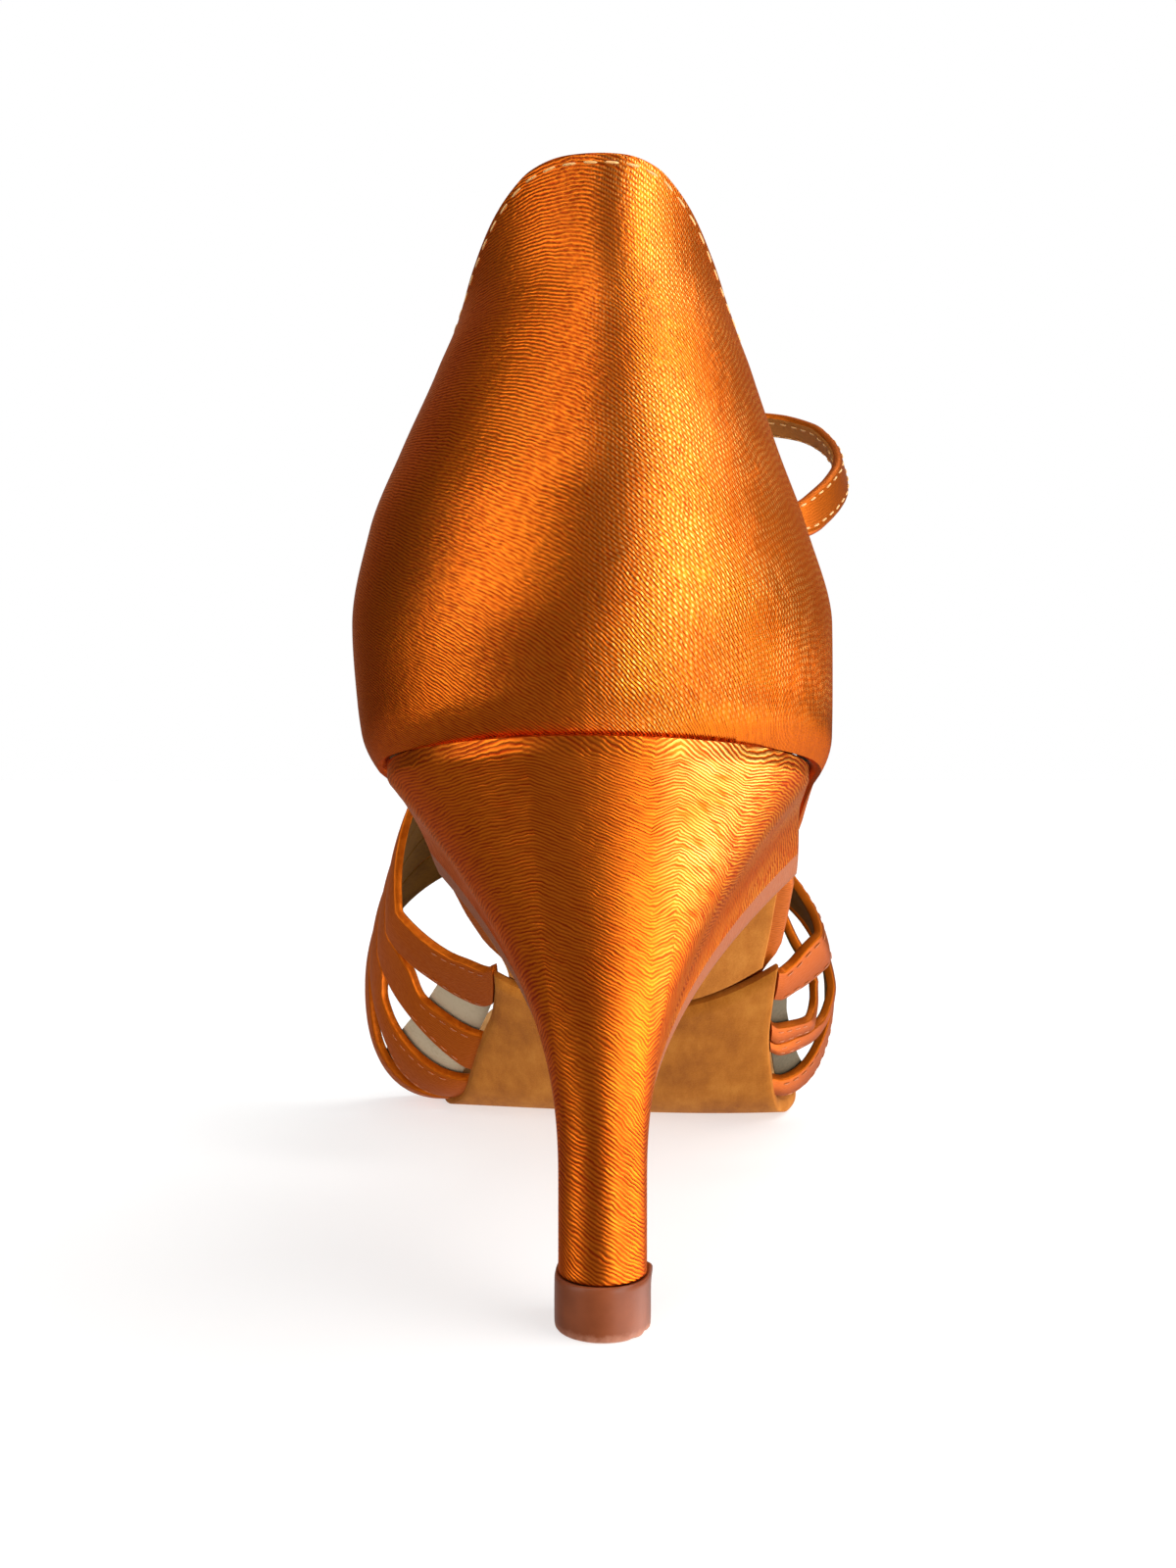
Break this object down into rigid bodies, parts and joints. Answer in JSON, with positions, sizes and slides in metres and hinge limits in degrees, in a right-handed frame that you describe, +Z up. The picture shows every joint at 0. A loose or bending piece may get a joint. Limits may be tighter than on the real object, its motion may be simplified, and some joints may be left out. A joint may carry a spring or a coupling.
{
  "type": "latin dance shoe",
  "caption": "Open-toe heeled dance sandal: closed peaked heel cup, fanned forefoot straps with a T-bar, looped ankle strap, slim flared heel and suede sole.",
  "frame": {"origin": "centre of the heel tip's bottom face, on the floor", "axes": "+Y to the toe, +X to the outer (lateral) side, +Z up"},
  "size_m": [0.0963, 0.231, 0.1428],
  "materials": {
    "satin": "copper satin over lining",
    "satin_heel": "plastic heel core covered in copper satin",
    "suede": "tan suede",
    "sock": "soft sock lining",
    "tip": "brown glossy plastic",
    "metal": "polished metal"
  },
  "bodies": {
    "root": {"outsole": "suede", "shank_cover": "suede", "insole_board": "satin", "insole_sock": "sock", "heel": "satin_heel", "heel_tip": "tip", "counter": "satin", "vamp_straps": "satin", "ankle_strap": "satin", "buckle_frame": "metal", "buckle_prong": "metal"}
  },
  "joints": []
}
